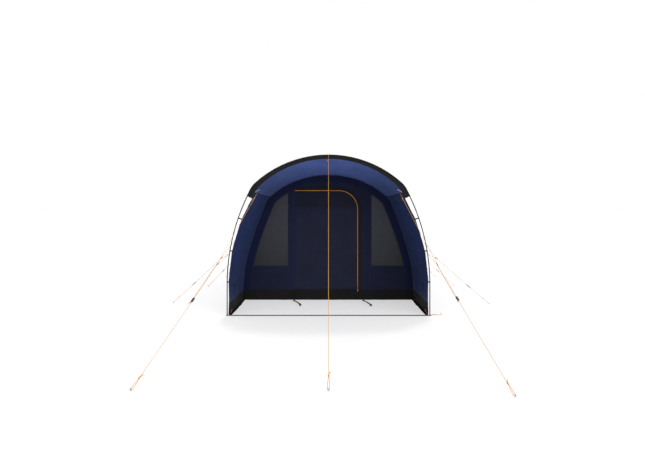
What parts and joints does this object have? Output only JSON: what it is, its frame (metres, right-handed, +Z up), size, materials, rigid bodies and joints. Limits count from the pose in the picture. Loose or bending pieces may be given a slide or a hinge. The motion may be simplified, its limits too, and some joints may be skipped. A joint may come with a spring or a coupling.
{
  "type": "tunnel tent",
  "caption": "Tunnel tent with an open arched porch, D-shaped front door between two windows, sleeved pole hoops, hanging inner tent and pegged guy lines.",
  "frame": {"origin": "on the ground at the centre of the tent's footprint, guy lines and their pegs left out", "axes": "+Z up, -Y out of the porch, +Y towards the tail, +X to the right seen from in front of the porch"},
  "size_m": [4.5759, 6.3065, 2.0651],
  "materials": {
    "pole": "black coated tube, semi-gloss",
    "black_cloth": "black coated polyester, matt",
    "black_webbing": "black woven webbing",
    "orange_webbing": "orange woven webbing",
    "peg_head": "orange moulded plastic",
    "roof_cloth": "blue coated polyester, slightly translucent",
    "side_cloth": "dark blue coated polyester",
    "wall_cloth": "navy coated polyester",
    "window_sheet": "tinted clear PVC sheet",
    "zip": "orange coil zip on tape",
    "black_plastic": "black moulded nylon",
    "puller": "orange cord and tab",
    "inner_cloth": "grey breathable polyester",
    "groundsheet": "grey woven polyethylene sheet",
    "guy_cord": "orange braided polyester cord",
    "peg_steel": "zinc plated wire"
  },
  "bodies": {
    "tent": {"front_hoop_arch": "pole", "front_hoop_left_leg": "pole", "front_hoop_right_leg": "pole", "door_hoop": "pole", "middle_hoop": "pole", "rear_hoop": "pole", "front_sleeve": "black_cloth", "door_sleeve": "black_cloth", "middle_sleeve": "black_cloth", "rear_sleeve": "black_cloth", "clip_tape_left": "black_webbing", "clip_tape_right": "black_webbing", "base_strap": "black_webbing", "foot_strap": "orange_webbing", "foot_strap_peg": "peg_head", "fly_porch_roof": "roof_cloth", "fly_porch_left": "side_cloth", "fly_porch_right": "side_cloth", "fly_body": "roof_cloth", "fly_end": "side_cloth", "skirt_left": "black_cloth", "skirt_right": "black_cloth", "skirt_rear": "black_cloth", "front_wall": "wall_cloth", "front_wall_skirt": "black_cloth", "window_left": "window_sheet", "window_right": "window_sheet", "rain_flap": "black_cloth", "door_zip": "zip", "inner_tent": "inner_cloth", "inner_front": "inner_cloth", "inner_groundsheet": "groundsheet", "guy_front_centre": "guy_cord", "peg_front_centre": "peg_steel", "guy_front_left": "guy_cord", "peg_front_left": "peg_steel", "guy_front_right": "guy_cord", "peg_front_right": "peg_steel", "guy_door_left": "guy_cord", "peg_door_left": "peg_steel", "guy_door_right": "guy_cord", "peg_door_right": "peg_steel", "guy_middle_left": "guy_cord", "peg_middle_left": "peg_steel", "guy_middle_right": "guy_cord", "peg_middle_right": "peg_steel", "guy_rear_left": "guy_cord", "peg_rear_left": "peg_steel", "guy_rear_right": "guy_cord", "peg_rear_right": "peg_steel"},
    "front_door": {"front_door": "wall_cloth"},
    "zip_slider": {"zip_slider": "black_plastic"},
    "zip_puller": {"zip_puller": "puller"},
    "inner_door": {"inner_door": "inner_cloth"},
    "runner_front_left": {"runner_front_left": "black_plastic"},
    "runner_front_right": {"runner_front_right": "black_plastic"},
    "runner_door_left": {"runner_door_left": "black_plastic"},
    "runner_door_right": {"runner_door_right": "black_plastic"},
    "runner_middle_left": {"runner_middle_left": "black_plastic"},
    "runner_middle_right": {"runner_middle_right": "black_plastic"}
  },
  "joints": [
    {"name": "front_door_hinge", "type": "hinge", "parent": "tent", "child": "front_door", "pos_m": [-0.5, -1.237, 0], "axis": [0, 0, -1], "range_deg": [0, 100]},
    {"name": "zip_travel", "type": "slide", "parent": "tent", "child": "zip_slider", "axis": [0, 0, 1], "range_m": [0, 1.15]},
    {"name": "zip_puller_swing", "type": "hinge", "parent": "zip_slider", "child": "zip_puller", "pos_m": [0.436, -1.2482, 0.1745], "axis": [-1, 0, 0], "range_deg": [0, 150]},
    {"name": "inner_door_hinge", "type": "hinge", "parent": "tent", "child": "inner_door", "pos_m": [-0.42, -0.0435, 0], "axis": [0, 0, -1], "range_deg": [0, 100]},
    {"name": "runner_front_left_slide", "type": "slide", "parent": "tent", "child": "runner_front_left", "axis": [-0.1678, -0.8613, -0.4796], "range_m": [-0.35, 0.6]},
    {"name": "runner_front_right_slide", "type": "slide", "parent": "tent", "child": "runner_front_right", "axis": [0.1064, -0.878, -0.4667], "range_m": [-0.35, 0.56]},
    {"name": "runner_door_left_slide", "type": "slide", "parent": "tent", "child": "runner_door_left", "axis": [-0.7194, -0.1112, -0.6857], "range_m": [-0.35, 0.18]},
    {"name": "runner_door_right_slide", "type": "slide", "parent": "tent", "child": "runner_door_right", "axis": [0.7357, -0.157, -0.6589], "range_m": [-0.35, 0.18]},
    {"name": "runner_middle_left_slide", "type": "slide", "parent": "tent", "child": "runner_middle_left", "axis": [-0.6714, -0.1331, -0.7291], "range_m": [-0.32, 0.15]},
    {"name": "runner_middle_right_slide", "type": "slide", "parent": "tent", "child": "runner_middle_right", "axis": [0.7222, -0.0822, -0.6868], "range_m": [-0.32, 0.15]}
  ]
}
